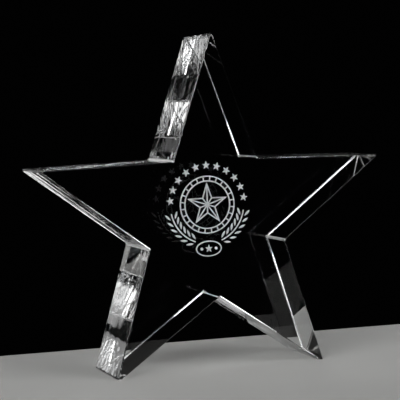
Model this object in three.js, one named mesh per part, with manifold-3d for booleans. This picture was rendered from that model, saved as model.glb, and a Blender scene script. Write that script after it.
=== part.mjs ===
// Star trophy: a thick five-point star cut from one block of clear optical crystal.
//
// The star stands on its two lower points, which are ground level, and every edge has a
// small polished chamfer. Its award emblem is laser-engraved inside the block, on a plane
// just behind the middle. Each mark of the emblem is a thin layer of fractured glass: here
// it is a solid of its own, lying in a hollow of the same outline in the block.
//
// Millimetres, +Z up. The origin is on the surface that the trophy stands on, under the
// middle of the block. The front face looks towards -Y.

import * as THREE from 'three';
import { mergeVertices } from 'three/addons/utils/BufferGeometryUtils.js';
import Module from 'manifold-3d';

// ---- Driving dimensions of the block ----

const POINTS = 5;
const POINT_RADIUS = 95;      // centre of the star to a point, before its end is cut off
const NOTCH_RADIUS = 38;      // centre of the star to an inner corner
const THICKNESS = 40;         // front face to back face
const POINT_CUT = 1.6;        // cut off the end of each of the three upper points
const FOOT_CUT = 2;           // cut level off each of the two lower points
const EDGE_CHAMFER = 0.5;     // polished 45 degree chamfer round both faces

// ---- Driving dimensions of the engraving ----

const ENGRAVING_SETBACK = 2.5;  // from the middle of the block back to the engraved plane
const ENGRAVING_DEPTH = 0.6;    // thickness of the fractured layer
const LINE_WIDTH = 0.6;         // width of an engraved line
const EMBLEM_HEIGHT = 7.5;      // centre of the medallion above the centre of the star

const MEDALLION_RADIUS = 14.8;  // outside of the medallion's border
const BORDER_WIDTH = 3;         // across the border's two rings and the ticks between them
const BORDER_TICKS = 24;
const MEDALLION_STAR_RADIUS = 10.4;

const HONOUR_STAR_COUNT = 11;     // small stars in an arch over the medallion
const HONOUR_STAR_RADIUS = 2.2;
const HONOUR_ARCH_RADIUS = 20;
const HONOUR_ARCH_SWEEP = 164;    // degrees, from the first star to the last

const LAUREL_RADIUS = 19.8;     // line that each laurel stem follows
const LAUREL_TOP = 191;         // degrees anticlockwise from +X, upper end of the left stem
const LAUREL_BOTTOM = 249;      // the same, lower end
const LEAF_PAIRS = 6;
const LEAF_LENGTH = 4;
const LEAF_WIDTH = 1.1;
const LEAF_SPREAD = 32;         // degrees between a leaf and its stem
const LEAF_CLEARANCE = 0.9;     // between the stem and the nearest end of a leaf
const FIRST_LEAF = 0.35;        // from the upper end of the stem, in spaces between leaves

const CARTOUCHE_DROP = 22.4;    // centre of the cartouche below the centre of the medallion
const CARTOUCHE_WIDTH = 14;
const CARTOUCHE_HEIGHT = 8.2;
const CARTOUCHE_STAR_RADIUS = 2.1;
const CARTOUCHE_DOT_RADIUS = 0.75;
const CARTOUCHE_DOT_OFFSET = 3.9;

// ---- Room around the marks ----

const HOLLOW_GAP = 0.3;     // between a mark and the wall of its hollow
const VENT_WIDTH = 0.6;     // square bore that opens a hollow to the back face
const VENT_OVERRUN = 1;     // of the tool that cuts the bore, past the back face

// ---- Straight sides that stand for a curve ----

const OVAL_SIDES = 40;
const DOT_SIDES = 16;
const STEM_STEPS = 12;
const LEAF_STEPS = 6;
const WINDOW_STEPS = 2;

const CORNERS = 2 * POINTS;
const CORNER_ANGLE = 2 * Math.PI / CORNERS;   // from a point to the next inner corner
const CENTRE_HEIGHT = POINT_RADIUS * Math.cos(CORNER_ANGLE) - FOOT_CUT;
const ENGRAVING_PLANE = -ENGRAVING_SETBACK;   // along the block's own front-facing axis
const BACK_FACE = -THICKNESS / 2;

const wasm = await Module();
wasm.setup();

// ---- Solids ----

function solidOf(geometry) {
  const bare = geometry.clone();
  bare.deleteAttribute('normal');
  bare.deleteAttribute('uv');
  const merged = mergeVertices(bare, 1e-4);
  return new wasm.Manifold(new wasm.Mesh({
    numProp: 3,
    vertProperties: new Float32Array(merged.attributes.position.array),
    triVerts: new Uint32Array(merged.index.array),
  }));
}

function geometryOf(solid) {
  const mesh = solid.getMesh();
  const geometry = new THREE.BufferGeometry();
  geometry.setAttribute('position', new THREE.BufferAttribute(mesh.vertProperties, mesh.numProp));
  geometry.setIndex(new THREE.BufferAttribute(mesh.triVerts, 1));
  geometry.computeVertexNormals();
  return geometry;
}

// ---- Outlines ----

const degrees = THREE.MathUtils.degToRad;

function polar(radius, angle) {
  return new THREE.Vector2(radius * Math.cos(angle), radius * Math.sin(angle));
}

function arcPoints(radiusX, radiusY, from, to, steps) {
  const points = [];
  for (let i = 0; i <= steps; i++) {
    const angle = from + (to - from) * i / steps;
    points.push(new THREE.Vector2(radiusX * Math.cos(angle), radiusY * Math.sin(angle)));
  }
  return points;
}

function loopPoints(radiusX, radiusY, steps) {
  return arcPoints(radiusX, radiusY, 0, 2 * Math.PI, steps).slice(0, steps);
}

// Corners of a star with one point up: point, inner corner, point, and so on.
function starCorners(pointRadius, notchRadius) {
  const corners = [];
  for (let i = 0; i < CORNERS; i++) {
    const radius = i % 2 === 0 ? pointRadius : notchRadius;
    corners.push(polar(radius, Math.PI / 2 + i * CORNER_ANGLE));
  }
  return corners;
}

// Where the line between two corners crosses the line at a distance along a normal.
function crossing(start, end, normal, distance) {
  const from = start.dot(normal);
  const to = end.dot(normal);
  return start.clone().lerp(end, (distance - from) / (to - from));
}

// Outline of the block: each point loses its end to a short straight cut.
function blockOutline() {
  const corners = starCorners(POINT_RADIUS, NOTCH_RADIUS);
  const down = new THREE.Vector2(0, -1);
  const outline = [];
  for (let i = 0; i < CORNERS; i += 2) {
    const point = corners[i];
    const before = corners[(i + CORNERS - 1) % CORNERS];
    const after = corners[i + 1];
    const isFoot = point.y < -NOTCH_RADIUS;
    const normal = isFoot ? down : point.clone().normalize();
    const distance = isFoot ? CENTRE_HEIGHT : POINT_RADIUS - POINT_CUT;
    outline.push(crossing(before, point, normal, distance));
    outline.push(crossing(point, after, normal, distance));
    outline.push(after);
  }
  return new THREE.Shape(outline);
}

// The functions below draw one mark each, about its own centre. grow moves every side of
// the mark outwards, which turns the outline of a mark into the outline of its hollow.

function starMark(radius, grow) {
  const notch = radius * NOTCH_RADIUS / POINT_RADIUS;
  const [point, inner] = starCorners(radius, notch);
  const sideDistance = Math.abs(point.cross(inner)) / point.distanceTo(inner);
  const scale = 1 + grow / sideDistance;
  return new THREE.Shape(starCorners(radius * scale, notch * scale));
}

function dotMark(radius, grow) {
  return new THREE.Shape(loopPoints(radius + grow, radius + grow, DOT_SIDES));
}

function ovalRingMark(width, height, grow) {
  const inset = LINE_WIDTH + grow;
  const ring = new THREE.Shape(loopPoints(width / 2 + grow, height / 2 + grow, OVAL_SIDES));
  ring.holes.push(new THREE.Path(loopPoints(width / 2 - inset, height / 2 - inset, OVAL_SIDES)));
  return ring;
}

// Two rings joined by short ticks, so the border is one piece with a row of windows.
function borderMark(grow) {
  const outside = MEDALLION_RADIUS + grow;
  const inside = MEDALLION_RADIUS - BORDER_WIDTH - grow;
  const windowOutside = MEDALLION_RADIUS - LINE_WIDTH - grow;
  const windowInside = MEDALLION_RADIUS - BORDER_WIDTH + LINE_WIDTH + grow;
  const windowMiddle = (windowOutside + windowInside) / 2;
  const pitch = 2 * Math.PI / BORDER_TICKS;
  const halfWindow = pitch / 2 - (LINE_WIDTH / 2 + grow) / windowMiddle;
  const border = new THREE.Shape(loopPoints(outside, outside, 2 * BORDER_TICKS));
  border.holes.push(new THREE.Path(loopPoints(inside, inside, 2 * BORDER_TICKS)));
  for (let i = 0; i < BORDER_TICKS; i++) {
    const from = i * pitch - halfWindow;
    const to = i * pitch + halfWindow;
    const outer = arcPoints(windowOutside, windowOutside, from, to, WINDOW_STEPS);
    const inner = arcPoints(windowInside, windowInside, to, from, WINDOW_STEPS);
    border.holes.push(new THREE.Path([...outer, ...inner]));
  }
  return border;
}

// A triangle with every side moved inwards by the same distance.
function insetTriangle(a, b, c, distance) {
  const oppositeA = b.distanceTo(c);
  const oppositeB = c.distanceTo(a);
  const oppositeC = a.distanceTo(b);
  const perimeter = oppositeA + oppositeB + oppositeC;
  const middle = new THREE.Vector2()
    .addScaledVector(a, oppositeA / perimeter)
    .addScaledVector(b, oppositeB / perimeter)
    .addScaledVector(c, oppositeC / perimeter);
  const area = Math.abs(b.clone().sub(a).cross(c.clone().sub(a))) / 2;
  const scale = 1 - distance * perimeter / (2 * area);
  return [a, b, c].map((corner) => corner.clone().sub(middle).multiplyScalar(scale).add(middle));
}

// A star drawn in line: its outline, and a line from the centre to each of its corners.
function facetedStarMark(grow) {
  const star = starMark(MEDALLION_STAR_RADIUS, LINE_WIDTH / 2 + grow);
  const notch = MEDALLION_STAR_RADIUS * NOTCH_RADIUS / POINT_RADIUS;
  const corners = starCorners(MEDALLION_STAR_RADIUS, notch);
  const centre = new THREE.Vector2();
  for (let i = 0; i < CORNERS; i++) {
    const facet = [centre, corners[i], corners[(i + 1) % CORNERS]];
    star.holes.push(new THREE.Path(insetTriangle(...facet, LINE_WIDTH / 2 + grow)));
  }
  return star;
}

// Part of a ring, round the centre of the medallion.
function stemMark(from, to, grow) {
  const outside = LAUREL_RADIUS + LINE_WIDTH / 2 + grow;
  const inside = LAUREL_RADIUS - LINE_WIDTH / 2 - grow;
  const extra = grow / LAUREL_RADIUS;
  const outer = arcPoints(outside, outside, from - extra, to + extra, STEM_STEPS);
  const inner = arcPoints(inside, inside, to + extra, from - extra, STEM_STEPS);
  return new THREE.Shape([...outer, ...inner]);
}

// A pointed leaf along X, with sides that bow out as half a sine wave.
function leafMark(grow) {
  const length = LEAF_LENGTH + 2 * grow;
  const width = LEAF_WIDTH + 2 * grow;
  const outline = [];
  for (const sign of [1, -1]) {
    for (let i = 0; i < LEAF_STEPS; i++) {
      const share = i / LEAF_STEPS;
      const bow = width / 2 * Math.sin(Math.PI * share);
      outline.push(new THREE.Vector2(sign * length * (share - 0.5), -sign * bow));
    }
  }
  return new THREE.Shape(outline);
}

// ---- The emblem ----

// Each mark has a name, an outline, a place measured from the centre of the star, a turn,
// and the point of the mark, in the mark's own frame, where its vent starts.
function mark(name, outline, place, turn = 0, vent = new THREE.Vector2()) {
  return { name, outline, place, turn, vent };
}

const UP = Math.PI / 2;
const medallionCentre = new THREE.Vector2(0, EMBLEM_HEIGHT);
const cartoucheCentre = new THREE.Vector2(0, EMBLEM_HEIGHT - CARTOUCHE_DROP);

function medallionMarks() {
  const ringMiddle = new THREE.Vector2(MEDALLION_RADIUS - LINE_WIDTH / 2, 0);
  return [
    mark('medallion_border', borderMark, medallionCentre, 0, ringMiddle),
    mark('medallion_star', facetedStarMark, medallionCentre),
  ];
}

function honourStarMarks() {
  const marks = [];
  for (let i = 0; i < HONOUR_STAR_COUNT; i++) {
    const share = i / (HONOUR_STAR_COUNT - 1) - 0.5;
    const turn = -degrees(HONOUR_ARCH_SWEEP) * share;
    const place = polar(HONOUR_ARCH_RADIUS, UP + turn).add(medallionCentre);
    const outline = (grow) => starMark(HONOUR_STAR_RADIUS, grow);
    marks.push(mark(`honour_star_${i + 1}`, outline, place, turn));
  }
  return marks;
}

// One laurel spray: a stem and pairs of leaves. The right spray mirrors the left one.
function laurelMarks(side) {
  const mirrored = side === 'right';
  const across = (angle) => (mirrored ? Math.PI - angle : angle);
  const ends = [across(degrees(LAUREL_TOP)), across(degrees(LAUREL_BOTTOM))].sort((a, b) => a - b);
  const stem = (grow) => stemMark(ends[0], ends[1], grow);
  const stemMiddle = polar(LAUREL_RADIUS, (ends[0] + ends[1]) / 2);
  const marks = [mark(`laurel_${side}_stem`, stem, medallionCentre, 0, stemMiddle)];
  const leafHalfSpan = LEAF_LENGTH / 2 * Math.sin(degrees(LEAF_SPREAD));
  const leafReach = LINE_WIDTH / 2 + LEAF_CLEARANCE + leafHalfSpan;
  for (let i = 0; i < LEAF_PAIRS; i++) {
    const along = (i + FIRST_LEAF) / LEAF_PAIRS;
    const angle = degrees(LAUREL_TOP + (LAUREL_BOTTOM - LAUREL_TOP) * along);
    for (const outward of [1, -1]) {
      const place = polar(LAUREL_RADIUS + outward * leafReach, across(angle)).add(medallionCentre);
      const tangent = across(angle - UP + outward * degrees(LEAF_SPREAD));
      const number = 2 * i + (outward === 1 ? 1 : 2);
      marks.push(mark(`laurel_${side}_leaf_${number}`, leafMark, place, tangent));
    }
  }
  return marks;
}

function cartoucheMarks() {
  const ring = (grow) => ovalRingMark(CARTOUCHE_WIDTH, CARTOUCHE_HEIGHT, grow);
  const ringMiddle = new THREE.Vector2((CARTOUCHE_WIDTH - LINE_WIDTH) / 2, 0);
  const star = (grow) => starMark(CARTOUCHE_STAR_RADIUS, grow);
  const dot = (grow) => dotMark(CARTOUCHE_DOT_RADIUS, grow);
  const beside = (offset) => cartoucheCentre.clone().add(new THREE.Vector2(offset, 0));
  return [
    mark('cartouche_ring', ring, cartoucheCentre, 0, ringMiddle),
    mark('cartouche_star', star, cartoucheCentre),
    mark('cartouche_dot_left', dot, beside(-CARTOUCHE_DOT_OFFSET)),
    mark('cartouche_dot_right', dot, beside(CARTOUCHE_DOT_OFFSET)),
  ];
}

// ---- Geometry of the marks, their hollows and the block ----

function plate(shape, thickness) {
  const geometry = new THREE.ExtrudeGeometry(shape, { depth: thickness, bevelEnabled: false });
  return geometry.translate(0, 0, -thickness / 2);
}

function placement({ place, turn }) {
  const shift = new THREE.Vector3(place.x, place.y, ENGRAVING_PLANE);
  const spin = new THREE.Quaternion().setFromAxisAngle(new THREE.Vector3(0, 0, 1), turn);
  return new THREE.Matrix4().compose(shift, spin, new THREE.Vector3(1, 1, 1));
}

function hollowSolid(entry) {
  const hollow = plate(entry.outline(HOLLOW_GAP), ENGRAVING_DEPTH + 2 * HOLLOW_GAP);
  const ventLength = ENGRAVING_PLANE - BACK_FACE + VENT_OVERRUN;
  const vent = new THREE.BoxGeometry(VENT_WIDTH, VENT_WIDTH, ventLength)
    .translate(entry.vent.x, entry.vent.y, -ventLength / 2);
  const place = placement(entry);
  return solidOf(hollow.applyMatrix4(place)).add(solidOf(vent.applyMatrix4(place)));
}

function blockGeometry(entries) {
  const star = new THREE.ExtrudeGeometry(blockOutline(), {
    depth: THICKNESS - 2 * EDGE_CHAMFER,
    bevelThickness: EDGE_CHAMFER,
    bevelSize: EDGE_CHAMFER,
    bevelOffset: -EDGE_CHAMFER,
    bevelSegments: 1,
  }).translate(0, 0, EDGE_CHAMFER - THICKNESS / 2);
  let block = solidOf(star);
  for (const entry of entries) {
    block = block.subtract(hollowSolid(entry));
  }
  return geometryOf(block);
}

// ---- Scene graph ----

function crystalMaterial() {
  return new THREE.MeshStandardMaterial({
    color: 0xeaf4f5, roughness: 0.03, metalness: 0, transparent: true, opacity: 0.35,
  });
}

function engravedMaterial() {
  return new THREE.MeshStandardMaterial({ color: 0xf1f4f5, roughness: 0.85, metalness: 0 });
}

function addMesh(group, name, geometry, material) {
  const mesh = new THREE.Mesh(geometry, material);
  mesh.name = name;
  group.add(mesh);
  return mesh;
}

const marks = [
  ...medallionMarks(),
  ...honourStarMarks(),
  ...laurelMarks('left'),
  ...laurelMarks('right'),
  ...cartoucheMarks(),
];

// The block's own frame has X to the right, Y up and Z towards the front.
const upright = new THREE.Group();
upright.rotation.x = Math.PI / 2;
upright.position.z = CENTRE_HEIGHT;

addMesh(upright, 'crystal_star', blockGeometry(marks), crystalMaterial());
for (const entry of marks) {
  const geometry = plate(entry.outline(0), ENGRAVING_DEPTH);
  const mesh = addMesh(upright, entry.name, geometry, engravedMaterial());
  mesh.position.set(entry.place.x, entry.place.y, ENGRAVING_PLANE);
  mesh.rotation.z = entry.turn;
}

const trophy = new THREE.Group();
trophy.add(upright);

export default trophy;
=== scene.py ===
import math

import bmesh
import bpy
from mathutils import Matrix, Vector


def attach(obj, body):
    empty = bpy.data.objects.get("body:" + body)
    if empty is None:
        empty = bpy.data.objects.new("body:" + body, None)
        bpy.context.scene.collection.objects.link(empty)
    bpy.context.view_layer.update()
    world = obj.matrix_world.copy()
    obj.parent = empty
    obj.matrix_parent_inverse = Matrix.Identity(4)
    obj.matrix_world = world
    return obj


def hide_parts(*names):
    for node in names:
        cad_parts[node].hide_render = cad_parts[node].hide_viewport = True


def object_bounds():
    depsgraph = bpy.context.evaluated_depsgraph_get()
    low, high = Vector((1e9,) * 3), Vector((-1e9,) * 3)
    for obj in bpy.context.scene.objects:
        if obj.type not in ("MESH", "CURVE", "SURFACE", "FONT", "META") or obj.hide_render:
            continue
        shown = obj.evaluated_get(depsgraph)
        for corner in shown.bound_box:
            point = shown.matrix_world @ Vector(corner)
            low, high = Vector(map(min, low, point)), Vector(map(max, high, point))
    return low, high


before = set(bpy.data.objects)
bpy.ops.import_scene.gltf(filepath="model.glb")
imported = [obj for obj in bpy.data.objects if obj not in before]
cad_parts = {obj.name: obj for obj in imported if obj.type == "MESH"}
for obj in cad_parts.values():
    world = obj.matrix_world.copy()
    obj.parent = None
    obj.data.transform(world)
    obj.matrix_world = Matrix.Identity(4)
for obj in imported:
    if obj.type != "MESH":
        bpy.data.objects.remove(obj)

# Star trophy: a thick star of clear optical crystal with a laser-engraved emblem inside.
# Metres and degrees, +Z up. The CAD block is replaced by a clean one without the hollows
# that the CAD model needs round each engraved mark. The marks themselves are the CAD nodes.

cad_low, cad_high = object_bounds()

BODY = "root"
BLOCK_NODE = "crystal_star"
MARK_NODES = sorted(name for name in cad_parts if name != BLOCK_NODE)

# The CAD block, which the outline is read from
POINTS = 5
MIDDLE_Z = (cad_low.z + cad_high.z) / 2
PLANE_DIGITS = 5          # decimals kept of the place of a plane
CORNER_DIGITS = 6         # decimals kept of the place of a corner
TOLERANCE = 2e-5          # places nearer to each other than this are the same

# Crystal
CRYSTAL_IOR = 1.517
CRYSTAL_TINT = (0.985, 0.995, 0.995, 1)
NOTCH_FILLET = 0.0009     # how far the grinding in an inner corner reaches along each wall
EDGE_ROUNDING = 0.00008   # how far the rounding of a sharp edge reaches along each side
RIDGE_HEIGHT = 0.00002    # of the shallow ridges that belt polishing leaves on the walls
LONGEST_CUT = 0.01        # a side of the outline shorter than this is a ground cut
SHARP_ANGLE = 20          # an edge that turns more than this is sharp
BOUNCES = 32              # light crosses the block many times between its walls
GLOSSY_BOUNCES = 12

# Table
TABLE_BACK = 0.078        # behind the middle of the block
TABLE_FRONT = 0.13
TABLE_HALF_WIDTH = 0.36
TABLE_THICKNESS = 0.018
TABLE_TURN = -4.7         # about Z
TABLE_ROUNDING = 0.004

# Camera
CAMERA_AZIMUTH = -19.7    # from the front, negative to the star's left
CAMERA_ELEVATION = 3.83
CAMERA_ROLL = -2.11
CAMERA_DISTANCE = 0.7553
CAMERA_LENS = 132.8       # mm
CAMERA_AIM = Vector((-0.0014, 0.0012, 0.0096))   # from the centre of the star


# ---- The block's outline, from the CAD ----

CAD_VERTICES = [vertex.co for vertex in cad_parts[BLOCK_NODE].data.vertices]


def cad_levels():
    """The planes across Y that hold the block's outline: face, chamfer, chamfer, face.

    The block is symmetric, so the two at the front give the two at the back.
    """
    face, chamfer = sorted({round(v.y, PLANE_DIGITS) for v in CAD_VERTICES})[:2]
    return [face, chamfer, -chamfer, -face]


def cad_corners(depth):
    """Corners of the block on one plane across Y, as (x, z), in order round the star."""
    corners = {
        (round(v.x, CORNER_DIGITS), round(v.z, CORNER_DIGITS))
        for v in CAD_VERTICES
        if abs(v.y - depth) < TOLERANCE
    }
    return sorted(corners, key=lambda c: math.atan2(c[1] - MIDDLE_Z, c[0]))


def inner_corners(corners):
    """The inner corners are the nearest to the middle."""
    return sorted(corners, key=lambda c: math.hypot(c[0], c[1] - MIDDLE_Z))[:POINTS]


LEVELS = cad_levels()
FACE_CORNERS = cad_corners(LEVELS[0])
OUTLINE_CORNERS = cad_corners(LEVELS[1])
INNER_CORNERS = inner_corners(OUTLINE_CORNERS)
CENTRE = Vector((0, 0, sum(z for _, z in INNER_CORNERS) / POINTS))


# ---- Materials ----

def new_material(name):
    material = bpy.data.materials.new(name)
    material.use_nodes = True
    nodes = material.node_tree.nodes
    return material, nodes, material.node_tree.links, nodes["Principled BSDF"]


def new_crystal(name):
    material, nodes, links, shader = new_material(name)
    shader.inputs["Base Color"].default_value = CRYSTAL_TINT
    shader.inputs["Transmission Weight"].default_value = 1.0
    shader.inputs["IOR"].default_value = CRYSTAL_IOR
    return material, nodes, links, shader


def add_noise(nodes, links, scale, detail, distortion=0.0, stretch=(1, 1, 1)):
    place = nodes.new("ShaderNodeTexCoord")
    mapping = nodes.new("ShaderNodeMapping")
    mapping.inputs["Scale"].default_value = stretch
    noise = nodes.new("ShaderNodeTexNoise")
    noise.inputs["Scale"].default_value = scale
    noise.inputs["Detail"].default_value = detail
    noise.inputs["Distortion"].default_value = distortion
    links.new(place.outputs["Object"], mapping.inputs["Vector"])
    links.new(mapping.outputs["Vector"], noise.inputs["Vector"])
    return noise.outputs["Fac"]


def add_roughness(nodes, links, shader, pattern, low, high):
    """Roughness that follows a noise pattern, which seldom leaves the middle of its range."""
    scaled = nodes.new("ShaderNodeMapRange")
    scaled.inputs["From Min"].default_value = 0.3
    scaled.inputs["From Max"].default_value = 0.7
    scaled.inputs["To Min"].default_value = low
    scaled.inputs["To Max"].default_value = high
    links.new(pattern, scaled.inputs["Value"])
    links.new(scaled.outputs["Result"], shader.inputs["Roughness"])


def add_bump(nodes, links, shader, pattern, distance, strength):
    bump = nodes.new("ShaderNodeBump")
    bump.inputs["Strength"].default_value = strength
    bump.inputs["Distance"].default_value = distance
    links.new(pattern, bump.inputs["Height"])
    links.new(bump.outputs["Normal"], shader.inputs["Normal"])


def add_colours(nodes, links, shader, pattern, dark, light, dark_at=0.0, light_at=1.0):
    ramp = nodes.new("ShaderNodeValToRGB")
    first, last = ramp.color_ramp.elements
    first.position = dark_at
    first.color = dark
    last.position = light_at
    last.color = light
    links.new(pattern, ramp.inputs["Fac"])
    links.new(ramp.outputs["Color"], shader.inputs["Base Color"])


def face_material():
    """The two star faces: optically flat and polished."""
    material, nodes, links, shader = new_crystal("crystal_face")
    haze = add_noise(nodes, links, scale=90, detail=6)
    add_roughness(nodes, links, shader, haze, low=0.0, high=0.012)
    return material


def wall_material():
    """The side walls: polished on a belt, which leaves shallow ridges along their length."""
    material, nodes, links, shader = new_crystal("crystal_wall")
    haze = add_noise(nodes, links, scale=120, detail=6)
    add_roughness(nodes, links, shader, haze, low=0.0, high=0.03)
    ridges = add_noise(nodes, links, scale=12, detail=3, distortion=0.3, stretch=(1, 10, 1))
    add_bump(nodes, links, shader, ridges, distance=RIDGE_HEIGHT, strength=1.0)
    return material


def edge_material():
    """Chamfers, ground points and feet: finely ground, so they scatter light."""
    material, nodes, links, shader = new_crystal("crystal_edge")
    grain = add_noise(nodes, links, scale=1500, detail=8)
    add_roughness(nodes, links, shader, grain, low=0.06, high=0.2)
    add_bump(nodes, links, shader, grain, distance=0.00005, strength=0.2)
    return material


def notch_material():
    """The inner corners: ground by the edge of a wheel and left white."""
    material, nodes, links, shader = new_crystal("crystal_notch")
    shader.inputs["Transmission Weight"].default_value = 0.4
    grain = add_noise(nodes, links, scale=1100, detail=8)
    add_roughness(nodes, links, shader, grain, low=0.3, high=0.6)
    add_bump(nodes, links, shader, grain, distance=0.00008, strength=0.5)
    return material


def engraved_material():
    """Laser marks: a dense layer of tiny white fractures."""
    material, nodes, links, shader = new_material("laser_fractures")
    dots = add_noise(nodes, links, scale=2600, detail=6)
    grey = (0.62, 0.64, 0.66, 1)
    white = (0.97, 0.98, 0.99, 1)
    add_colours(nodes, links, shader, dots, grey, white, dark_at=0.3, light_at=0.62)
    add_roughness(nodes, links, shader, dots, low=0.55, high=0.9)
    add_bump(nodes, links, shader, dots, distance=0.0002, strength=0.6)
    return material


def table_material():
    """A matt table top with a faint unevenness in its tone."""
    material, nodes, links, shader = new_material("pale_table")
    tone = add_noise(nodes, links, scale=9, detail=3)
    darker = (0.43, 0.43, 0.42, 1)
    lighter = (0.48, 0.48, 0.47, 1)
    add_colours(nodes, links, shader, tone, darker, lighter)
    shader.inputs["Roughness"].default_value = 0.75
    return material


# ---- The block ----

FACE, WALL, EDGE, NOTCH = range(4)   # material slots of the block


def ground_cuts(corners):
    """Which sides of the outline are the short ground cuts at a point or a foot."""
    following = corners[1:] + corners[:1]
    return [math.dist(start, end) < LONGEST_CUT for start, end in zip(corners, following)]


def block_mesh():
    body = bmesh.new()
    outlines = [FACE_CORNERS, OUTLINE_CORNERS, OUTLINE_CORNERS, FACE_CORNERS]
    rings = [
        [body.verts.new((x, depth, z)) for x, z in corners]
        for depth, corners in zip(LEVELS, outlines)
    ]
    front = body.faces.new(rings[0])
    back = body.faces.new(reversed(rings[-1]))
    front.material_index = back.material_index = FACE
    count = len(OUTLINE_CORNERS)
    is_cut = ground_cuts(OUTLINE_CORNERS)
    for near, far, is_chamfer in ((0, 1, True), (1, 2, False), (2, 3, True)):
        for i in range(count):
            j = (i + 1) % count
            side = body.faces.new((rings[near][i], rings[far][i], rings[far][j], rings[near][j]))
            side.material_index = EDGE if is_chamfer or is_cut[i] else WALL
    bmesh.ops.recalc_face_normals(body, faces=body.faces)
    return body


def is_notch_edge(edge):
    """An edge along the depth of the block, in one of the five inner corners."""
    a, b = ((v.co.x, v.co.z) for v in edge.verts)
    return math.dist(a, b) < TOLERANCE and any(math.dist(a, c) < TOLERANCE for c in INNER_CORNERS)


def round_edges(body, edges, offset, segments, material):
    bmesh.ops.bevel(
        body, geom=edges, offset=offset, segments=segments, profile=0.5,
        affect="EDGES", material=material, clamp_overlap=True,
    )


def build_block(materials):
    body = block_mesh()
    notches = [edge for edge in body.edges if is_notch_edge(edge)]
    round_edges(body, notches, NOTCH_FILLET, segments=4, material=NOTCH)
    turn = math.radians(SHARP_ANGLE)
    sharp = [edge for edge in body.edges if edge.is_manifold and edge.calc_face_angle() > turn]
    round_edges(body, sharp, EDGE_ROUNDING, segments=2, material=EDGE)
    mesh = bpy.data.meshes.new("star_block")
    body.to_mesh(mesh)
    body.free()
    for material in materials:
        mesh.materials.append(material)
    block = bpy.data.objects.new("star_block", mesh)
    bpy.context.scene.collection.objects.link(block)
    return block


block = build_block([face_material(), wall_material(), edge_material(), notch_material()])
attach(block, BODY)
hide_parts(BLOCK_NODE)


# ---- The engraved marks ----

engraved = engraved_material()
for name in MARK_NODES:
    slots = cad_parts[name].data.materials
    slots.clear()
    slots.append(engraved)


# ---- Table ----

def build_table():
    low = Vector((-TABLE_HALF_WIDTH, -TABLE_FRONT, -TABLE_THICKNESS))
    high = Vector((TABLE_HALF_WIDTH, TABLE_BACK, 0))
    place = Matrix.Translation((low + high) / 2) @ Matrix.Diagonal((*(high - low), 1))
    top = bmesh.new()
    bmesh.ops.create_cube(top, size=1, matrix=place)
    bmesh.ops.bevel(
        top, geom=list(top.edges), offset=TABLE_ROUNDING, segments=4, profile=0.5, affect="EDGES"
    )
    mesh = bpy.data.meshes.new("table")
    top.to_mesh(mesh)
    top.free()
    mesh.materials.append(table_material())
    table = bpy.data.objects.new("table", mesh)
    table.rotation_euler.z = math.radians(TABLE_TURN)
    bpy.context.scene.collection.objects.link(table)
    return table


build_table()


# ---- Light ----
# Clear crystal shows nothing but what its walls mirror and bend, so the studio is dark.
# Azimuth 0 is behind the star, 90 to its right and -90 to its left.

LIGHT_DISTANCE = 6.0
STRIP_FILL = 0.18         # lit part of a strip bank's width
STUDIO_DARKNESS = (0.0005, 0.0005, 0.0005, 1)

# Softboxes round the star: azimuth, elevation, width, height, brightness. The front pair
# and the left one light the engraving and the table. The left one also draws the bright
# lines along the right-hand edges.
SOFTBOXES = {
    "softbox_left": (-114, 16, 18, 66, 3.5),
    "softbox_right": (37.5, 12.5, 5, 5, 3),
    "softbox_front_right": (135, 23, 40, 18, 8.5),
    "softbox_front_left": (-142, 23, 36, 18, 8.5),
    "softbox_back_high": (10, 36, 16, 18, 3),
    "softbox_top": (90, 80, 40, 40, 0.2),
}

# Small lamps beside the camera and behind the star, in the same terms. They fill the
# lengths into which the left-hand walls break what they mirror.
WALL_LAMPS = {
    "softbox_fill_low": (-163, 1, 2.4, 2, 3),
    "softbox_fill_middle": (-163, 11, 2, 2, 0.7),
    "softbox_fill_high": (-165, 13, 2, 2, 1.6),
    "softbox_back_1": (-17.5, 10.5, 1.5, 1.5, 2.5),
    "softbox_back_2": (-16, 9, 1.5, 1.5, 0.5),
    "softbox_back_3": (-13, 12, 1.5, 1.5, 2),
    "softbox_back_4": (-19, 5, 1.5, 1.5, 1.8),
    "softbox_back_5": (-18, 2, 1.5, 1.8, 1.1),
    "softbox_back_6": (-19, 0, 1.5, 1.5, 0.9),
}

# Banks of strips, which the ridges turn into streaks along the left arm and in the leg
# arch: azimuth, elevation, length of the strips, span of the bank, brightness, number of
# strips, tilt.
STRIP_BANKS = {
    "strips_low": (6.75, -12.6, 12, 4.6, 2.2, 5, -34),
    "strips_low_right": (15, -17.5, 6, 4, 1.0, 5, -34),
    "strips_arm": (15, 3.15, 4.4, 1.8, 12, 2, 0),
}


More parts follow.
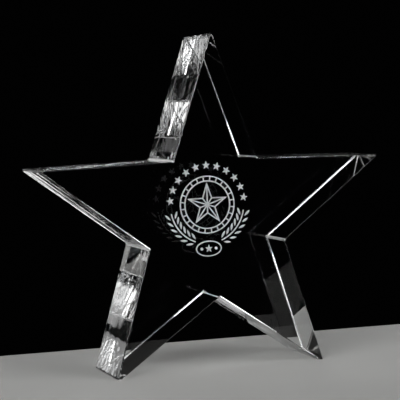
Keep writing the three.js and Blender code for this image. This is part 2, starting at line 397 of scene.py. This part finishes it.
def softbox(name, azimuth, elevation, width, height, brightness, tilt=0):
    """A softbox aimed at the star, its width and height in degrees as the star sees it.

    The brightness is per area, so it stays the same when the size changes. The tilt turns
    the light about its own axis, so that its right end rises as the star sees it.
    """
    a, e = math.radians(azimuth), math.radians(elevation)
    towards = Vector((math.sin(a) * math.cos(e), math.cos(a) * math.cos(e), math.sin(e)))
    light = bpy.data.lights.new(name, "AREA")
    light.shape = "RECTANGLE"
    light.size = 2 * LIGHT_DISTANCE * math.tan(math.radians(width / 2))
    light.size_y = 2 * LIGHT_DISTANCE * math.tan(math.radians(height / 2))
    light.energy = brightness * math.pi * light.size * light.size_y
    lamp = bpy.data.objects.new(name, light)
    level = (-towards).to_track_quat("-Z", "Y").to_matrix().to_4x4()
    turn = Matrix.Rotation(-math.radians(tilt), 4, "Z")
    lamp.matrix_world = Matrix.Translation(CENTRE + towards * LIGHT_DISTANCE) @ level @ turn
    lamp.visible_camera = False
    bpy.context.scene.collection.objects.link(lamp)


def strip_bank(name, azimuth, elevation, length, span, brightness, strips, tilt):
    """A bank of strip lights with dark gaps between them; tilt 0 is level and 90 upright."""
    pitch = span / strips
    for i in range(strips):
        shift = (i - (strips - 1) / 2) * pitch
        softbox(
            f"{name}_{i + 1}",
            azimuth - shift * math.sin(math.radians(tilt)),
            elevation + shift * math.cos(math.radians(tilt)),
            length, pitch * STRIP_FILL, brightness, tilt,
        )


for name, box in {**SOFTBOXES, **WALL_LAMPS}.items():
    softbox(name, *box)
for name, bank in STRIP_BANKS.items():
    strip_bank(name, *bank)

world = bpy.data.worlds.new("dark_studio")
world.use_nodes = True
world.node_tree.nodes["Background"].inputs["Color"].default_value = STUDIO_DARKNESS
bpy.context.scene.world = world


# ---- Camera ----

def build_camera():
    a, e = math.radians(CAMERA_AZIMUTH), math.radians(CAMERA_ELEVATION)
    back = Vector((math.sin(a) * math.cos(e), -math.cos(a) * math.cos(e), math.sin(e)))
    data = bpy.data.cameras.new("camera")
    data.lens = CAMERA_LENS
    data.clip_start = 0.01
    camera = bpy.data.objects.new("camera", data)
    level = (-back).to_track_quat("-Z", "Y").to_matrix().to_4x4()
    roll = Matrix.Rotation(math.radians(CAMERA_ROLL), 4, "Z")
    spot = Matrix.Translation(CENTRE + CAMERA_AIM + back * CAMERA_DISTANCE)
    camera.matrix_world = spot @ level @ roll
    bpy.context.scene.collection.objects.link(camera)
    bpy.context.scene.camera = camera


build_camera()
bpy.context.scene.view_settings.view_transform = "Standard"
bpy.context.scene.cycles.max_bounces = BOUNCES
bpy.context.scene.cycles.transmission_bounces = BOUNCES
bpy.context.scene.cycles.glossy_bounces = GLOSSY_BOUNCES
